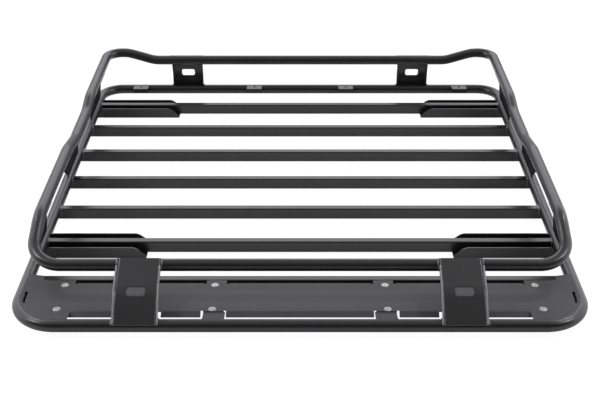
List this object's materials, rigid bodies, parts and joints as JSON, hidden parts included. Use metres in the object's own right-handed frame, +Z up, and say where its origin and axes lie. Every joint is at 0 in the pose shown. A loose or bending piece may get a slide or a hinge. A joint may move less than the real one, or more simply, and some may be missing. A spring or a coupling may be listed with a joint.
{
  "type": "expedition roof rack",
  "caption": "Open welded roof rack of black round tube: a base hoop with crossbars, channel feet and a front panel, and a raised upper hoop on slotted posts and gussets",
  "frame": {"origin": "on the level surface under the feet, at the middle of the rack's plan", "axes": "X across the rack, +Y from the front panel to the rear, +Z up"},
  "size_m": [1.269, 1.2966, 0.166],
  "materials": {
    "black_coat": "satin black powder coat on steel",
    "zinc": "bright zinc-plated bolt heads"
  },
  "bodies": {
    "root": {"base_front_tube": "black_coat", "base_rear_tube": "black_coat", "base_left_tube": "black_coat", "base_right_tube": "black_coat", "base_corner_front_left": "black_coat", "base_corner_front_right": "black_coat", "base_corner_rear_left": "black_coat", "base_corner_rear_right": "black_coat", "upper_front_rail": "black_coat", "upper_rear_rail": "black_coat", "upper_left_rail": "black_coat", "upper_right_rail": "black_coat", "upper_corner_front_left": "black_coat", "upper_corner_front_right": "black_coat", "upper_corner_rear_left": "black_coat", "upper_corner_rear_right": "black_coat", "front_bar": "black_coat", "crossbar_1": "black_coat", "crossbar_2": "black_coat", "crossbar_3": "black_coat", "crossbar_4": "black_coat", "crossbar_5": "black_coat", "crossbar_6": "black_coat", "foot_front_left": "black_coat", "foot_front_right": "black_coat", "foot_rear_left": "black_coat", "foot_rear_right": "black_coat", "post_front_left": "black_coat", "post_front_right": "black_coat", "post_rear_left": "black_coat", "post_rear_right": "black_coat", "gusset_front_left": "black_coat", "gusset_front_right": "black_coat", "gusset_middle_left": "black_coat", "gusset_middle_right": "black_coat", "gusset_rear_left": "black_coat", "gusset_rear_right": "black_coat", "front_panel": "black_coat", "panel_strap_left": "black_coat", "panel_strap_right": "black_coat", "panel_ear_left": "black_coat", "panel_ear_right": "black_coat", "rear_lug_inner_left": "black_coat", "rear_lug_inner_right": "black_coat", "rear_lug_outer_left": "black_coat", "rear_lug_outer_right": "black_coat"}
  },
  "joints": []
}
